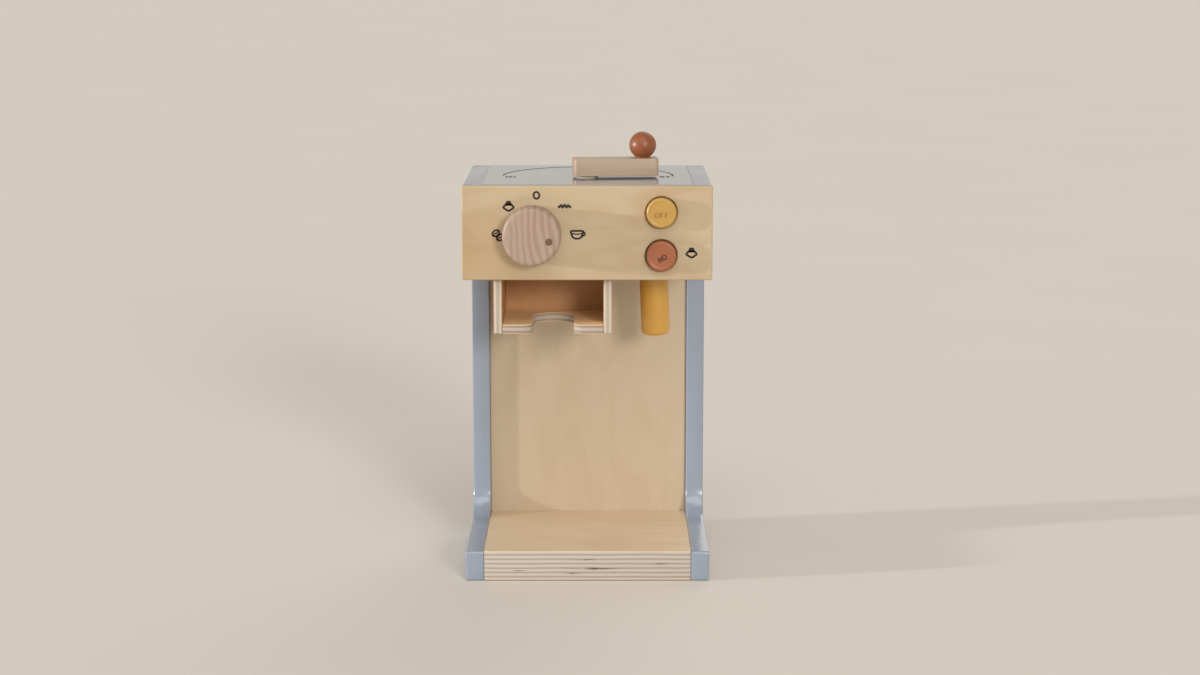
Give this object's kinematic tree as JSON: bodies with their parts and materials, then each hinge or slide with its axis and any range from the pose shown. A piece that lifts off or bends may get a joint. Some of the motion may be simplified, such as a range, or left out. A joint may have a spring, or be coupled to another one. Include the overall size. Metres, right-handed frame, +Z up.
{
  "type": "toy coffee maker",
  "caption": "Wooden toy coffee maker: plywood casing with a cup bay, slotted dock, dial knob, sprung press buttons, turning lever and steam wand.",
  "frame": {"origin": "on the table, under the middle of the whole object", "axes": "+X to the right, +Y from the front panel to the back, +Z up"},
  "size_m": [0.161, 0.146, 0.2915],
  "materials": {
    "painted_board": "eggshell paint in blue-grey on plywood",
    "pale_plywood": "clear matt lacquer on pale plywood",
    "veneer_board": "clear matt lacquer on veneered board",
    "turned_beech": "bare turned hardwood with strong grain",
    "lever_wood": "bare planed hardwood",
    "inlay_wood": "dark stained inlay",
    "mustard_paint": "satin mustard paint on turned wood",
    "terracotta_paint": "satin terracotta paint on turned wood",
    "hidden_wood": "bare dowels and discs inside",
    "zinc_steel": "zinc-plated screws, washers and springs"
  },
  "bodies": {
    "casing": {"left_side_panel": "painted_board", "right_side_panel": "painted_board", "base_board": "veneer_board", "back_panel": "veneer_board", "top_panel": "painted_board", "front_panel": "pale_plywood", "head_floor": "veneer_board", "dock_left_wall": "pale_plywood", "dock_right_wall": "pale_plywood", "dock_back_wall": "pale_plywood", "dock_shelf": "pale_plywood", "base_dowels": "hidden_wood", "top_pins": "hidden_wood", "floor_pins": "hidden_wood", "front_pins": "hidden_wood", "dock_pins": "hidden_wood", "back_screws": "zinc_steel", "button_plate": "pale_plywood", "plate_screws": "zinc_steel", "off_spring": "zinc_steel", "on_spring": "zinc_steel", "lever_bolt": "zinc_steel", "lever_spacer": "lever_wood", "lever_washer": "zinc_steel", "lever_nut": "zinc_steel"},
    "knob_turns": {"knob": "turned_beech", "knob_dot": "inlay_wood", "knob_axle": "hidden_wood", "knob_washer": "zinc_steel", "knob_disc": "hidden_wood", "knob_screw": "zinc_steel"},
    "off_slides": {"off_washer": "zinc_steel"},
    "off_turns": {"off_button": "mustard_paint", "off_stem": "hidden_wood", "off_disc": "hidden_wood", "off_screw": "zinc_steel"},
    "on_slides": {"on_washer": "zinc_steel"},
    "on_turns": {"on_button": "terracotta_paint", "on_stem": "hidden_wood", "on_disc": "hidden_wood", "on_screw": "zinc_steel"},
    "lever_turns": {"lever_bar": "lever_wood", "lever_ball": "terracotta_paint", "ball_dowel": "hidden_wood", "lever_plug": "lever_wood"},
    "wand_turns": {"wand": "mustard_paint", "wand_axle": "hidden_wood", "wand_disc": "hidden_wood", "wand_screw": "zinc_steel"}
  },
  "joints": [
    {"name": "knob_turn", "type": "hinge", "parent": "casing", "child": "knob_turns", "pos_m": [-0.0353, -0.056, 0.23], "axis": [0, 1, 0], "continuous": true},
    {"name": "off_press", "type": "slide", "parent": "casing", "child": "off_slides", "axis": [0, 1, 0], "range_m": [0, 0.003], "stiffness_N_per_m": 260, "springref_m": -0.002, "deforming": ["off_spring"]},
    {"name": "off_turn", "type": "hinge", "parent": "off_slides", "child": "off_turns", "pos_m": [0.0476, -0.056, 0.24385], "axis": [0, 1, 0], "continuous": true},
    {"name": "on_press", "type": "slide", "parent": "casing", "child": "on_slides", "axis": [0, 1, 0], "range_m": [0, 0.003], "stiffness_N_per_m": 260, "springref_m": -0.002, "deforming": ["on_spring"]},
    {"name": "on_turn", "type": "hinge", "parent": "on_slides", "child": "on_turns", "pos_m": [0.0476, -0.056, 0.21615], "axis": [0, 1, 0], "continuous": true},
    {"name": "lever_turn", "type": "hinge", "parent": "casing", "child": "lever_turns", "pos_m": [0, -0.004, 0.2622], "axis": [0, 0, 1], "continuous": true},
    {"name": "wand_turn", "type": "hinge", "parent": "casing", "child": "wand_turns", "pos_m": [0.044, 0.006, 0.201], "axis": [-0.0349, 0, 0.9994], "continuous": true}
  ]
}
